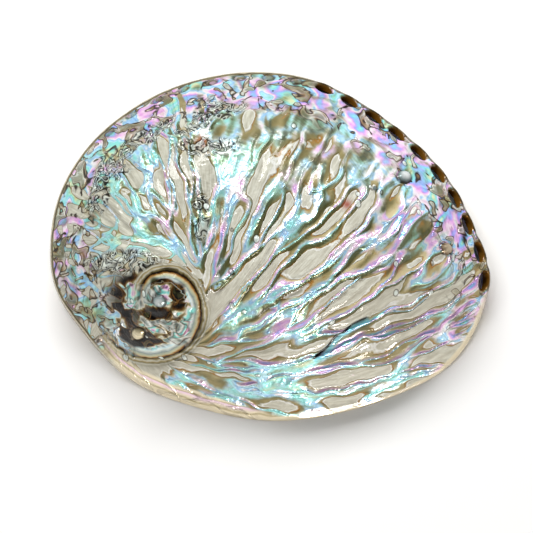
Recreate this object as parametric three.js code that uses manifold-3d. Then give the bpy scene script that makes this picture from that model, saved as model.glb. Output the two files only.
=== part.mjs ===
// An abalone shell, one grown piece, lying on its rim with the domed outside up.
// Millimetres, +Z up, +X along the shell's length, the rim's flat face on z = 0.
//
// The outside is a low dome over the plan outline. On one side it falls in a gentle slope to the
// growing lip. On the other it turns over at the keel, where the row of breathing holes runs, into
// a steep wall. The spire lies off centre, wound by a spiral groove, the suture. The inside is the
// same dome one wall smaller, with the shelf of the inner lip along the rim under the keel.

import * as THREE from 'three';
import { mergeVertices } from 'three/addons/utils/BufferGeometryUtils.js';
import Module from 'manifold-3d';

// ---------------------------------------------------------------- driving dimensions

// Plan outline of the rim, anticlockwise from the right-hand end, about the middle of the shell.
const OUTLINE = [
  [74.8, -13],
  [69.5, 6],
  [58.5, 25.5],
  [37.5, 44.5],
  [15, 56.5],
  [-7, 59.3],
  [-29, 55.4],
  [-46.5, 47],
  [-62.5, 33],
  [-73, 13],
  [-73.6, -13],
  [-64, -29],
  [-48, -45],
  [-24, -55],
  [3, -59.3],
  [36.5, -53],
  [63, -38.5],
];

const HEIGHT = 44;            // top of the dome above the rim
const WALL = 4.2;             // thickness of the shell at the top of the dome
const RIM = 2.8;              // width of the rim at the growing lip

// A section from the top of the dome outwards: level at the top, falling at a steady slope where
// it meets the keel or the lip. The pulls say how far each end bends the curve.
const DOME = { slope: 48, topPull: 0.55, edgePull: 0.36 };

// The keel and the wall under it face one way and fade out on both sides of it.
const KEEL = { direction: 100, height: 16, overhang: 2, fadesFrom: 0.08, fadesTo: 0.55 };

// The shelf of the inner lip, widest beside the spire, hollowed out above.
const SHELF = { direction: 130, width: 8, rise: 9 };

// The spire, and the suture that winds clockwise out of it as a logarithmic spiral. Depth and
// width are parts of the spiral's own radius. It runs out between two turns past its top.
const SPIRE = { x: -35, y: -20.7, lift: 4.5, reach: 13 };
const SUTURE = { start: 9.3, growth: 0.204, depth: 0.15, width: 0.15, arms: 3 };
const SUTURE_END = { from: 3.9, to: 4.5 };

// The breathing holes follow the keel from the growing lip, one every pitch, getting smaller.
// Their middles lie a little inwards of the keel, up the slope of the dome.
const HOLES = {
  count: 10, pitch: 10.2, length: 7, width: 5.8, shrink: 0.02, depth: 14, inwards: 2.5,
};

const OUTSIDE_RINGS = 28;
const INSIDE_RINGS = 17;
const HOLE_SIDES = 14;
const BELOW = 3;              // how far the tool for the hollow reaches below the rim
const SHELL_COLOR = 0xbfc4b4;

// ---------------------------------------------------------------- shape of the surfaces

const outline = new THREE.CatmullRomCurve3(
  OUTLINE.map(([x, y]) => new THREE.Vector3(x, y, 0)),
  true,
  'centripetal',
);
outline.arcLengthDivisions = 2000;

const fall = new THREE.Vector2(1, 0).rotateAround(
  new THREE.Vector2(),
  -THREE.MathUtils.degToRad(DOME.slope),
);

/** How far a plan direction belongs to one side of the shell: 1 facing it, 0 facing away. */
function facing(point, degrees) {
  return 0.5 + 0.5 * Math.cos(Math.atan2(point.y, point.x) - THREE.MathUtils.degToRad(degrees));
}

/** The point of a section where the dome ends, at the keel or on the lip. */
function keelPoint(edge, radius) {
  const strength = THREE.MathUtils.smoothstep(
    facing(edge, KEEL.direction),
    KEEL.fadesFrom,
    KEEL.fadesTo,
  );
  return new THREE.Vector2(radius - KEEL.overhang * strength, KEEL.height * strength);
}

/** The section of a dome in one plan direction, as points from its top to its rim. */
function sectionPoints(edge, radius, height, shelf, steps) {
  const keel = keelPoint(edge, radius);
  const beforeKeel = keel.clone().addScaledVector(fall, -DOME.edgePull * radius);
  const pastKeel = keel.clone().addScaledVector(fall, (radius - keel.x) / fall.x);
  const path = new THREE.Path().moveTo(0, height);
  path.bezierCurveTo(DOME.topPull * radius, height, beforeKeel.x, beforeKeel.y, keel.x, keel.y);
  path.quadraticCurveTo(pastKeel.x, pastKeel.y, radius, 0);
  return path.getSpacedPoints(steps).map((point) => {
    point.x -= shelf * Math.max(0, 1 - point.y / SHELF.rise) ** 2;
    return point;
  });
}

/** Rise or fall of the surface, at a plan point, that the spire and its suture add to the dome. */
function spireRelief(x, y) {
  const fromSpire = Math.hypot(x - SPIRE.x, y - SPIRE.y);
  const bearing = Math.PI / 2 - Math.atan2(y - SPIRE.y, x - SPIRE.x);
  const turn = THREE.MathUtils.euclideanModulo(bearing, 2 * Math.PI);
  const running = 1 - THREE.MathUtils.smoothstep(turn, SUTURE_END.from, SUTURE_END.to);
  let relief = SPIRE.lift * Math.exp(-((fromSpire / SPIRE.reach) ** 2));
  for (let arm = 0; arm < SUTURE.arms; arm += 1) {
    const radius = SUTURE.start * Math.exp(SUTURE.growth * (turn - 2 * Math.PI * arm));
    const across = (fromSpire - radius) / (SUTURE.width * radius);
    const strength = arm === 0 ? running : 1;
    relief -= strength * SUTURE.depth * radius * Math.exp(-(across ** 2));
  }
  return relief;
}

/** Triangles between a ring of 6 (n - 1) points and the ring of 6 n points round it. */
function ringTriangles(inner, outer) {
  const triangles = [];
  const side = outer.length / 6;
  for (let sector = 0; sector < 6; sector += 1) {
    for (let step = 0; step < side; step += 1) {
      const a = inner[(sector * (side - 1) + step) % inner.length];
      const b = outer[sector * side + step];
      const c = outer[(sector * side + step + 1) % outer.length];
      triangles.push(a, b, c);
      if (step < side - 1) {
        const d = inner[(sector * (side - 1) + step + 1) % inner.length];
        triangles.push(a, c, d);
      }
    }
  }
  return triangles;
}

/** A closed dome: rings of 6, 12, 18... points from the top to the edge, a skirt and a flat base. */
function domeGeometry({ rings, height, inset, shelfWidth, below }) {
  const positions = [];
  const triangles = [];
  const addPoint = (x, y, z) => {
    positions.push(x, y, z);
    return positions.length / 3 - 1;
  };
  let ringBefore = [addPoint(0, 0, height + spireRelief(0, 0))];
  for (let ring = 1; ring <= rings; ring += 1) {
    const points = [];
    for (let step = 0; step < 6 * ring; step += 1) {
      const edge = outline.getPointAt(step / (6 * ring));
      const shelf = shelfWidth * facing(edge, SHELF.direction) ** 3;
      const section = sectionPoints(edge, edge.length() - inset, height, shelf, rings)[ring];
      const { x, y } = edge.setLength(section.x);
      const nearRim = Math.min(1, section.y / SHELF.rise);
      points.push(addPoint(x, y, section.y + nearRim * spireRelief(x, y)));
    }
    triangles.push(...ringTriangles(ringBefore, points));
    ringBefore = points;
  }
  const foot = ringBefore.map((rim) => addPoint(positions[3 * rim], positions[3 * rim + 1], -below));
  const middle = addPoint(0, 0, -below);
  ringBefore.forEach((rim, step) => {
    const next = (step + 1) % foot.length;
    if (below > 0) {
      triangles.push(rim, foot[step], foot[next], rim, foot[next], ringBefore[next]);
    }
    triangles.push(foot[step], middle, foot[next]);
  });
  const geometry = new THREE.BufferGeometry();
  geometry.setAttribute('position', new THREE.Float32BufferAttribute(positions, 3));
  geometry.setIndex(triangles);
  return geometry;
}

/** A point of the keel, a distance along the rim from the right-hand end, before it is centred. */
function alongKeel(distance) {
  const edge = outline.getPointAt(distance / outline.getLength());
  const keel = keelPoint(edge, edge.length());
  return edge.setLength(keel.x).setZ(keel.y);
}

/** A breathing hole's tool: an oval rod that stands square to the dome beside the keel. */
function holeGeometry(index) {
  const distance = HOLES.pitch * index;
  const centre = alongKeel(distance);
  const forwards = alongKeel(distance + 1).sub(centre).normalize();
  const outwards = new THREE.Vector3(centre.x, centre.y, 0).setLength(fall.x).setZ(fall.y);
  centre.addScaledVector(outwards, -HOLES.inwards);
  const normal = outwards.cross(forwards).normalize();
  const across = normal.clone().cross(forwards);
  const size = 1 - HOLES.shrink * index;
  const place = new THREE.Matrix4().makeBasis(
    across.multiplyScalar((size * HOLES.width) / 2),
    normal,
    forwards.multiplyScalar((size * HOLES.length) / 2),
  );
  const rod = new THREE.CylinderGeometry(1, 1, HOLES.depth, HOLE_SIDES);
  return rod.applyMatrix4(place.setPosition(centre));
}

// ---------------------------------------------------------------- the solid

const wasm = await Module();
wasm.setup();

/** A closed geometry as a solid that can be cut. */
function toSolid(geometry) {
  geometry.deleteAttribute('normal');
  geometry.deleteAttribute('uv');
  const merged = mergeVertices(geometry, 1e-5);
  return new wasm.Manifold(new wasm.Mesh({
    numProp: 3,
    vertProperties: new Float32Array(merged.attributes.position.array),
    triVerts: new Uint32Array(merged.index.array),
  }));
}

/** A solid as a geometry again. */
function toGeometry(solid) {
  const mesh = solid.getMesh();
  const geometry = new THREE.BufferGeometry();
  geometry.setAttribute('position', new THREE.Float32BufferAttribute(mesh.vertProperties, 3));
  geometry.setIndex(new THREE.Uint32BufferAttribute(mesh.triVerts, 1));
  geometry.computeVertexNormals();
  return geometry;
}

/** Moves a geometry so that the middle of its box is over the origin and its rim is on z = 0. */
function centred(geometry) {
  geometry.computeBoundingBox();
  const middle = geometry.boundingBox.getCenter(new THREE.Vector3());
  return geometry.translate(-middle.x, -middle.y, -geometry.boundingBox.min.z);
}

function shellGeometry() {
  const outside = toSolid(domeGeometry({
    rings: OUTSIDE_RINGS, height: HEIGHT, inset: 0, shelfWidth: 0, below: 0,
  }));
  const hollow = toSolid(domeGeometry({
    rings: INSIDE_RINGS, height: HEIGHT - WALL, inset: RIM, shelfWidth: SHELF.width, below: BELOW,
  }));
  let solid = outside.subtract(hollow);
  for (let index = 0; index < HOLES.count; index += 1) {
    solid = solid.subtract(toSolid(holeGeometry(index)));
  }
  return centred(toGeometry(solid));
}

const shell = new THREE.Mesh(
  shellGeometry(),
  new THREE.MeshStandardMaterial({ color: SHELL_COLOR, roughness: 0.2, metalness: 0.2 }),
);
shell.name = 'shell';

const abalone = new THREE.Group();
abalone.add(shell);

export default abalone;
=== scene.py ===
"""A polished abalone shell, lying on its rim with the domed outside up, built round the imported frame.

The shell is one closed mesh. Its outside and its inside are the two surfaces of the CAD solid,
worked out again on a fine grid and given folds, pits, pearls and a wound spire. Lengths are in
millimetres until the mesh is made, in metres.
"""

import math

import bmesh
import bpy
import numpy as np
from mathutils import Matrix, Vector
from mathutils.bvhtree import BVHTree
from mathutils.kdtree import KDTree


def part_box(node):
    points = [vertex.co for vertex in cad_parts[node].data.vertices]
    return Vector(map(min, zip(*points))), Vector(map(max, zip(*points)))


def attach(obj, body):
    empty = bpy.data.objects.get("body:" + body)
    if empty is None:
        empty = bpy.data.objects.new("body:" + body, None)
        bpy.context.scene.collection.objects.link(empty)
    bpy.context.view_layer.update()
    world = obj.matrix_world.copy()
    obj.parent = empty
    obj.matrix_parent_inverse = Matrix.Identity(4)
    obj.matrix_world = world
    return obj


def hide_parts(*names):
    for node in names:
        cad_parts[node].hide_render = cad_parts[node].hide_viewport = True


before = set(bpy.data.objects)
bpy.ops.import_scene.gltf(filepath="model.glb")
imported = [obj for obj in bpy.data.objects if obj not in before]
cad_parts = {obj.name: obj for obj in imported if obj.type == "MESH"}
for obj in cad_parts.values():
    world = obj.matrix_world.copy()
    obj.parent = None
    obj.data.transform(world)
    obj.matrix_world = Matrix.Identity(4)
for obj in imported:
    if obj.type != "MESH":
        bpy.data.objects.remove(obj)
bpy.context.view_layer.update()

MM = 0.001

# ---------------------------------------------------------------- the shell's dimensions, in mm
# They repeat the CAD part's, whose source isn't there to be read. Its outline comes from the frame.

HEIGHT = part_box("shell")[1].z / MM
WALL = 4.2
RIM = 2.8

DOME_SLOPE = math.radians(48)
DOME_TOP_PULL = 0.55
DOME_EDGE_PULL = 0.36
DOME_BULGE = 1.06          # how much longer the dome's curve is than its chord

KEEL_DIRECTION = math.radians(100)
KEEL_HEIGHT = 16
KEEL_OVERHANG = 2
KEEL_FADES = (0.08, 0.55)

SHELF_DIRECTION = math.radians(130)
SHELF_WIDTH = 8
SHELF_RISE = 9

SPIRE = np.array([-35, -20.7])
SPIRE_LIFT = 4.5
SPIRE_REACH = 13
SPIRE_OPEN = 20            # how far its colours reach on the side where it runs into the whorl
SUTURE_START = 9.3
SUTURE_GROWTH = 0.204
SUTURE_DEPTH = 0.15
SUTURE_WIDTH = 0.15
SUTURE_ARMS = 3
SUTURE_ENDS = (3.9, 4.5)
SUTURE_GROUND = 2.5        # how far before its outermost turn the suture is ground away

HOLE_COUNT = 10
HOLE_PITCH = 10.2
HOLE_LENGTH = 7
HOLE_WIDTH = 5.8
HOLE_SHRINK = 0.02
HOLE_DEPTH = 14
HOLE_INWARDS = 2.5
FIRST_HOLE = math.atan2(-13, 74.8)
KEEL_STEPS = 2000          # steps round half the rim, along which the holes are measured off
SEALED_COUNT = 8
HOLE_FLARE = 0.06          # how much wider a hole is at its outer end, and narrower within

# ---------------------------------------------------------------- small maths

FAR_OFF = 1e3              # further than anything, where the nearest of several is looked for
SMALLEST = 0.01            # stands in for no distance where something is divided by it
TINY = 1e-6                # and for no length of the wall
LATTICE_PRIMES = (73856093, 19349663, 83492791)
MIXING_PRIMES = (1274126177, 2246822519)
NOISE_GAIN = 1.6           # brings the noise to a range of about -1 to 1


def smoothstep(value, start, end):
    """0 before start, 1 after end, smooth between them. The start may be above the end."""
    t = np.clip((value - start) / (end - start), 0, 1)
    return t * t * (3 - 2 * t)


def bell(distance, width):
    """1 at no distance, falling off smoothly."""
    return np.exp(-((distance / width) ** 2))


def bell_at(distance, middle, width):
    """1 at the middle, falling off smoothly both ways."""
    return bell(distance - middle, width)


def unit_vectors(angle):
    """The plan vectors of length 1 that point at the angles."""
    return np.stack([np.cos(angle), np.sin(angle)], -1)


def lattice_random(ix, iy, seed):
    """A repeatable number from 0 to 1 for each lattice corner."""
    for_x, for_y, for_seed = LATTICE_PRIMES
    first, second = MIXING_PRIMES
    mixed = (ix * for_x) ^ (iy * for_y) ^ (seed * for_seed)
    mixed = ((mixed ^ (mixed >> 13)) * first) & 0xFFFFFFFF
    mixed = ((mixed ^ (mixed >> 16)) * second) & 0xFFFFFFFF
    return (mixed & 0xFFFF) / 0xFFFF


def noise(points, size, seed):
    """Gradient noise over plan points, about -1 to 1, with lumps of the given size."""
    scaled = points / size
    cell = np.floor(scaled).astype(np.int64)
    inside = scaled - cell
    fade = inside ** 3 * (inside * (inside * 6 - 15) + 10)
    value = 0
    for dx in (0, 1):
        for dy in (0, 1):
            turn = 2 * math.pi * lattice_random(cell[..., 0] + dx, cell[..., 1] + dy, seed)
            dot = (inside[..., 0] - dx) * np.cos(turn) + (inside[..., 1] - dy) * np.sin(turn)
            weight_x = fade[..., 0] if dx else 1 - fade[..., 0]
            weight_y = fade[..., 1] if dy else 1 - fade[..., 1]
            value = value + weight_x * weight_y * dot
    return value * NOISE_GAIN


# ---------------------------------------------------------------- the CAD shape, worked out again


def rim_radius_from_frame(samples=360, waves=24, far=0.2, low=0.00001):
    """The plan radius of the rim in every direction, as a smooth function.

    Rays find the CAD solid. They start far out and run low over the rim's flat face, in metres.
    """
    tree = BVHTree.FromObject(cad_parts["shell"], bpy.context.evaluated_depsgraph_get())
    radii = []
    for step in range(samples):
        angle = 2 * math.pi * step / samples
        outwards = Vector((math.cos(angle), math.sin(angle), 0))
        start = outwards * far + Vector((0, 0, low))
        hit = tree.ray_cast(start, -outwards)[0]
        radii.append(hit.to_2d().length / MM)
    spectrum = np.fft.rfft(radii)[: waves + 1] / samples
    order = np.arange(waves + 1)

    def radius(angle):
        phase = np.exp(1j * np.multiply.outer(angle, order))
        return 2 * (phase @ spectrum).real - spectrum[0].real

    return radius


rim_radius = rim_radius_from_frame()


def facing(angle, direction):
    """1 for a plan angle that faces the direction, 0 for one that faces away."""
    return 0.5 + 0.5 * np.cos(angle - direction)


def keel_point(angle, radius):
    """Where the dome ends, at the keel or on the lip: how far out, and how high."""
    strength = smoothstep(facing(angle, KEEL_DIRECTION), *KEEL_FADES)
    return radius - KEEL_OVERHANG * strength, KEEL_HEIGHT * strength


def section(angle, share, radius, height):
    """A point of the section from the top of the dome (share 0) to the rim (share 1)."""
    keel_out, keel_up = keel_point(angle, radius)
    fall_out, fall_up = math.cos(DOME_SLOPE), -math.sin(DOME_SLOPE)
    pull = DOME_EDGE_PULL * radius
    past = (radius - keel_out) / fall_out
    dome_length = DOME_BULGE * np.hypot(keel_out, height - keel_up)
    wall_length = np.maximum(keel_up, TINY)
    turn_over = dome_length / (dome_length + wall_length)

    t = np.minimum(share / turn_over, 1)
    s = 1 - t
    dome_out = 3 * s * s * t * DOME_TOP_PULL * radius
    dome_out = dome_out + 3 * s * t * t * (keel_out - pull * fall_out) + t ** 3 * keel_out
    dome_up = (s ** 3 + 3 * s * s * t) * height
    dome_up = dome_up + 3 * s * t * t * (keel_up - pull * fall_up) + t ** 3 * keel_up

    t = np.clip((share - turn_over) / (1 - turn_over), 0, 1)
    s = 1 - t
    wall_out = s * s * keel_out + 2 * s * t * (keel_out + past * fall_out) + t * t * radius
    wall_up = s * s * keel_up + 2 * s * t * (keel_up + past * fall_up)

    on_wall = share > turn_over
    out = np.where(on_wall, wall_out, dome_out)
    up = np.where(on_wall, wall_up, dome_up)
    return out, up, keel_up


def spire_polar(points):
    """Distance from the spire's top and the bearing round it, anticlockwise from +X."""
    away = points - SPIRE
    return np.hypot(away[..., 0], away[..., 1]), np.arctan2(away[..., 1], away[..., 0])


def suture_turn(bearing):
    """How far the suture has wound, clockwise from +Y, where it passes a bearing."""
    return np.mod(math.pi / 2 - bearing, 2 * math.pi)


def suture_radius(turn, arm):
    """Radius of one arm of the suture: arm 0 is the outermost turn, arm 1 the one before it."""
    return SUTURE_START * np.exp(SUTURE_GROWTH * (turn - 2 * math.pi * arm))


def suture_strength(turn, arm):
    """1 where an arm of the suture runs, 0 past the end of the outermost one."""
    return 1 - smoothstep(turn, *SUTURE_ENDS) if arm == 0 else np.ones_like(turn)


def spire_relief(points):
    """Rise or fall that the spire and its suture add to the dome."""
    distance, bearing = spire_polar(points)
    turn = suture_turn(bearing)
    relief = SPIRE_LIFT * bell(distance, SPIRE_REACH)
    for arm in range(SUTURE_ARMS):
        radius = suture_radius(turn, arm)
        dip = suture_strength(turn, arm) * bell(distance - radius, SUTURE_WIDTH * radius)
        relief = relief - SUTURE_DEPTH * radius * dip
    return relief


def nearest_suture(points):
    """How far outside the nearest arm of the suture each plan point lies, and how clear it is:
    the inner arms are ground away."""
    distance, bearing = spire_polar(points)
    turn = suture_turn(bearing)
    offset = np.full(len(points), FAR_OFF)
    clear = np.zeros(len(points))
    for arm in range(SUTURE_ARMS):
        outside = distance - suture_radius(turn, arm)
        left = smoothstep(turn - 2 * math.pi * arm, -SUTURE_GROUND, 0)
        nearer = np.abs(outside) < np.abs(offset)
        offset = np.where(nearer, outside, offset)
        clear = np.where(nearer, suture_strength(turn, arm) * left, clear)
    return offset, clear


# ---------------------------------------------------------------- which way the folds run

FOLD_START = 14.3          # radius of the circle round the spire that the folds leave as tangents
FOLD_NEAREST = FOLD_START * 1.0001    # no point counts as nearer to the spire than this
FOLD_STEEPEST = 0.9999     # keeps their direction finite on the circle and inside it
FOLD_SWIRL = 0.45          # how much the folds at the growing lip curl round, past the tangent
FOLD_SWIRL_TURNS = (math.radians(20), math.radians(-150))
FOLD_CUT = math.radians(-155)         # bearing of the gap between the last fold and the first
FOLD_ROUNDS = 12           # rounds of the search for the fold that passes through a point
FOLD_KEPT = 0.4            # share of each round's answer that is kept in the next
FOLD_REACH_SHORT = 3.6     # how far, each way, a fold above the spire holds its line
FOLD_REACH_MORE = 14       # how much further one beside the lip does
FOLD_REACH_TURNS = (math.radians(70), math.radians(-10))
FOLD_STEPS = 10            # points each way on the path along a fold


def fold_coordinates(points):
    """Where each plan point lies in the fan of folds: which fold, how far along it, its curl."""
    distance, bearing = spire_polar(points)
    distance = np.maximum(distance, FOLD_NEAREST)
    bearing = np.mod(bearing - FOLD_CUT, 2 * math.pi) + FOLD_CUT
    from_tangent = np.arccos(FOLD_START / distance)
    stretch = np.log(distance / FOLD_START)
    start = bearing - from_tangent
    for _ in range(FOLD_ROUNDS):
        curl = FOLD_SWIRL * smoothstep(start, *FOLD_SWIRL_TURNS)
        found = bearing - from_tangent - curl * stretch
        start = FOLD_KEPT * start + (1 - FOLD_KEPT) * found
    return start, np.sqrt(distance ** 2 - FOLD_START ** 2), curl


def fold_direction(points):
    """The unit vector along the folds at each plan point."""
    distance, bearing = spire_polar(points)
    curl = fold_coordinates(points)[2]
    ratio = np.minimum(FOLD_START / np.maximum(distance, SMALLEST), FOLD_STEEPEST)
    sideways = ratio / np.sqrt(1 - ratio ** 2) + curl
    angle = bearing + np.arctan(sideways)
    return unit_vectors(angle)


def fold_reach(points):
    """How far the folds hold their line each way: short and round above, long beside the lip."""
    start = fold_coordinates(points)[0]
    return FOLD_REACH_SHORT + FOLD_REACH_MORE * smoothstep(start, *FOLD_REACH_TURNS)


class FoldPaths:
    """Short paths along the folds through each point. Noise averaged over them lies in folds."""

    def __init__(self, points):
        stride = fold_reach(points)[:, None] / FOLD_STEPS
        self.points = [points]
        self.weights = [1.0]
        for way in (stride, -stride):
            walker = points
            for step in range(1, FOLD_STEPS + 1):
                walker = walker + way * fold_direction(walker)
                self.points.append(walker)
                self.weights.append(math.cos(0.5 * math.pi * step / (FOLD_STEPS + 1)))

    def smear(self, size, seed):
        """Noise averaged along the paths, with a mean of 0 and a spread of 1."""
        total = sum(
            weight * noise(points, size, seed) for weight, points in zip(self.weights, self.points)
        )
        total = total - total.mean()
        return total / total.std()


# ---------------------------------------------------------------- the surfaces as grids

OUTSIDE_RINGS = 150
INSIDE_RINGS = 75

# The scar on the inside where the muscle was fixed.
SCAR_MIDDLE = (12, 6)
SCAR_REACH = (24, 19)
SCAR_EDGE = (1.1, 0.9)      # where it begins and is whole, in reaches from its middle


def ring_grid(rings):
    """Rings of 1, 6, 12, 18... points: each point's plan angle and its share of the way out."""
    angles = [np.zeros(1)]
    shares = [np.zeros(1)]
    for ring in range(1, rings + 1):
        angles.append(2 * math.pi * np.arange(6 * ring) / (6 * ring))
        shares.append(np.full(6 * ring, ring / rings))
    return np.concatenate(angles), np.concatenate(shares)


def ring_start(ring):
    """The number of the first point of a ring."""
    return 0 if ring == 0 else 1 + 3 * ring * (ring - 1)


def ring_triangles(rings):
    """The triangles between the rings, anticlockwise seen from above."""
    triangles = []
    for ring in range(1, rings + 1):
        inner, outer = ring_start(ring - 1), ring_start(ring)
        inner_count, outer_count = max(1, 6 * (ring - 1)), 6 * ring
        step = np.arange(outer_count)
        sector, along = step // ring, step % ring
        a = inner + (sector * (ring - 1) + along) % inner_count
        b = outer + step
        c = outer + (step + 1) % outer_count
        triangles.append(np.stack([a, b, c], -1))
        more = along < ring - 1
        d = inner + (sector * (ring - 1) + along + 1) % inner_count
        triangles.append(np.stack([a, c, d], -1)[more])
    return np.concatenate(triangles)


def point_normals(points, triangles):
    """Smooth normals of a surface at its points."""
    corners = points[triangles]
    faces = np.cross(corners[:, 1] - corners[:, 0], corners[:, 2] - corners[:, 0])
    normals = np.zeros_like(points)
    for corner in range(3):
        np.add.at(normals, triangles[:, corner], faces)
    return normals / np.linalg.norm(normals, axis=1, keepdims=True)


def dome(rings, inset, drop, shelf_width):
    """The plain surface of the outside or the inside: points, plan points unrolled, wall depth."""
    angle, share = ring_grid(rings)
    radius = rim_radius(angle) - inset
    out, up, keel_up = section(angle, share, radius, HEIGHT - drop)
    direction = unit_vectors(angle)
    down_wall = np.maximum(0, keel_up - up)
    unrolled = (out + down_wall)[:, None] * direction
    shelf = shelf_width * facing(angle, SHELF_DIRECTION) ** 3
    plan = (out - shelf * np.maximum(0, 1 - up / SHELF_RISE) ** 2)[:, None] * direction
    relief = spire_relief(plan) * np.minimum(1, up / SHELF_RISE)
    points = np.column_stack([plan, up + relief])
    return points, unrolled, down_wall


class Holes:
    """The breathing holes along the keel: where each is, which way it faces, its size.

    The older ones, nearer the spire, are sealed: only a knob is left of each.
    """

    def __init__(self):
        angle = FIRST_HOLE + np.linspace(0, math.pi, KEEL_STEPS)
        edge = rim_radius(angle)[:, None] * unit_vectors(angle)
        distance = np.concatenate([[0], np.cumsum(np.linalg.norm(np.diff(edge, axis=0), axis=1))])

        def along(wanted):
            at = np.interp(wanted, distance, angle)
            out, up = keel_point(at, rim_radius(at))
            return np.array([out * math.cos(at), out * math.sin(at), up])

        self.frames = []
        for index in range(HOLE_COUNT + SEALED_COUNT):
            centre = along(HOLE_PITCH * index)
            forwards = along(HOLE_PITCH * index + 1) - centre
            forwards /= np.linalg.norm(forwards)
            plan = centre[:2] / np.linalg.norm(centre[:2])
            outwards = np.array([*plan * math.cos(DOME_SLOPE), -math.sin(DOME_SLOPE)])
            centre = centre - outwards * HOLE_INWARDS
            normal = np.cross(outwards, forwards)
            normal /= np.linalg.norm(normal)
            across = np.cross(normal, forwards)
            size = 1 - HOLE_SHRINK * index
            self.frames.append((centre, across, normal, forwards, size))

    def open(self):
        return self.frames[:HOLE_COUNT]

    def sealed(self):
        return self.frames[HOLE_COUNT:]

    def nearness(self, points, frames):
        """How many hole radii away each point is from the nearest hole's axis."""
        nearest = np.full(len(points), FAR_OFF)
        for centre, across, normal, forwards, size in frames:
            away = points - centre
            ratio = np.hypot(
                away @ across / (size * HOLE_WIDTH / 2),
                away @ forwards / (size * HOLE_LENGTH / 2),
            )
            in_reach = np.abs(away @ normal) < HOLE_DEPTH / 2
            nearest = np.where(in_reach, np.minimum(nearest, ratio), nearest)
        return nearest


holes = Holes()

# ---------------------------------------------------------------- zones and relief of the outside

# Sizes of the noise whose zero lines are the crests of the folds: above the spire, beside the lip
# and below the open holes.
FOLD_SIZES = (6.2, 8.2, 12.5)
FINE_SIZE = 2.2
BROAD_SIZE = 12
WARP_SIZE = 7               # size of the noise that bends the folds and the crack

# The seed of each noise. The folds take one seed from here on for each of their sizes.
SEEDS = {
    "warp x": 1, "warp y": 2, "fine": 21, "broad": 31, "pits": 41, "keel": 42, "spire": 43,
    "pit band": 44, "pit gaps": 45, "fold": 51, "cross": 54,
}

# Zones, in mm, each from where it begins to where it is whole.
BY_HOLES_X = (-32, -6)      # the folds below the open holes, along X
BY_HOLES_Y = (2, 25)        # and along Y
KEEL_BAND = (21, 12)        # the pearly band along the keel, inwards from the rim
SMOOTH_EDGE = (2.5, 5)      # the relief, inwards from the rim
RIM_FADE = (0, 4)           # and upwards from it
SPIRE_EDGE = (0.3, 4)       # softness of the spire's edge, and how much more where it runs out

SUNK = 0.6                  # how far the ground surface lies under the CAD surface
TOP_MARGIN = 0.1            # how far every point stays below the CAD height
EDGE_ROUND = 0.35

RIDGE_HEIGHT = 0.7
RIDGE_UPPER = 0.36          # share of that height above the spire and below the open holes
RIDGE_WIDTH = 0.22
KEEL_FOLDS_LOST = 0.9       # share of the folds' height that the keel band lacks
BROAD_HEIGHT = 0.3
FINE_HEIGHT = 0.12
KEEL_BUMPS = (0.3, 7)       # height, size
SPIRE_BUMPS = (0.35, 5)

PIT_HOLES = (0.5, 1.6)      # depth, size
PIT_EDGES = (0.1, 0.5)      # levels of the noise where a pit begins and is deepest
PIT_BAND = (16, 3.6)        # how far in from the rim, how wide
PIT_BAND_WANDER = (3.5, 14)             # how far it wanders, in lumps of what size
PIT_BAND_GAPS = (8, -0.5, 0.1)          # size of its gaps, and the levels between gap and band
PIT_BAND_STARTS = (1.6, 2.0)            # plan angles where it begins and is whole
PIT_BAND_ENDS = (3.1, 2.8)              # plan angles where it ends and is still whole

# Soft oval spots on the plan: x, y, reach along X, reach along Y.
PIT_SPOTS = [(-47, -8, 11, 3.5), (-22, 6, 2.5, 7), (-20, 29, 9, 3), (-55, 19, 2.5, 9)]
BROWN_SPOTS = [
    (-48.6, -12.6, 5, 3), (-51, -19.5, 5, 3.6), (-58, -29, 4, 3), (-42.6, -32.5, 10, 3),
    (-46, -26, 4, 3.4), (-36, -24.6, 6, 2.6), (-29, -19, 3, 5), (-37, -13.5, 5.5, 2.8),
]

# Round marks on the plan: x, y, radius. The last two pearls sit on the spire.
PEARLS = [
    (57.5, -2.8, 2.1), (43.8, 20.7, 2.4), (33.5, 15.8, 0.9), (-35.1, -20.8, 2.2),
    (-43.3, -30.8, 2.1),
]
STAINS = [(24.3, 10.2, 1.6), (39.7, -9, 2), (-22, 31, 1.8)]
PEARL_NARROW = 1.15         # how many times narrower a pearl is along Y
PEARL_RISE = 0.55           # its height over its radius
PEARL_RING = (1.1, 0.14)    # where the groove round it runs and how wide, in its radii
RING_DEPTH = 0.3

CRACK = ((31.4, -26), (26.3, -27.9), (14.7, -38.7))
CRACK_WIDTH = 0.7
CRACK_DEPTH = 0.5
CRACK_BENDS = 0.8           # how far it bends away from its corners
CRACK_GLOW = (0.5, -0.8)    # which way from the crack the nacre shines blue, and how far

# Round the holes, in their own radii.
SEALED_RING = (0.75, 0.15)  # where the dark ring of a sealed hole runs, and how wide
SEALED_FILL = (0.75, 0.5)   # where its filling begins and is whole
OPEN_CLEAR = (1.0, 1.8)     # where the relief round an open hole begins and is whole
OPEN_EDGE = (1.3, 0.35)     # where its raised edge runs, and how wide
OPEN_EDGE_HEIGHT = 0.45
OPEN_SINKS = (1.15, 0.75)   # where the surface begins to sink into it and has sunk
OPEN_SINK_DEPTH = 1.2
# The brown of an open hole is partly painted shade in its hollow.
OPEN_COLOR = (1.12, 1.0)    # where its brown begins and is whole


def from_rim(points):
    """How far in from the rim each plan point lies, and its plan angle."""
    angle = np.arctan2(points[:, 1], points[:, 0])
    return rim_radius(angle) - np.hypot(points[:, 0], points[:, 1]), angle


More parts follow.
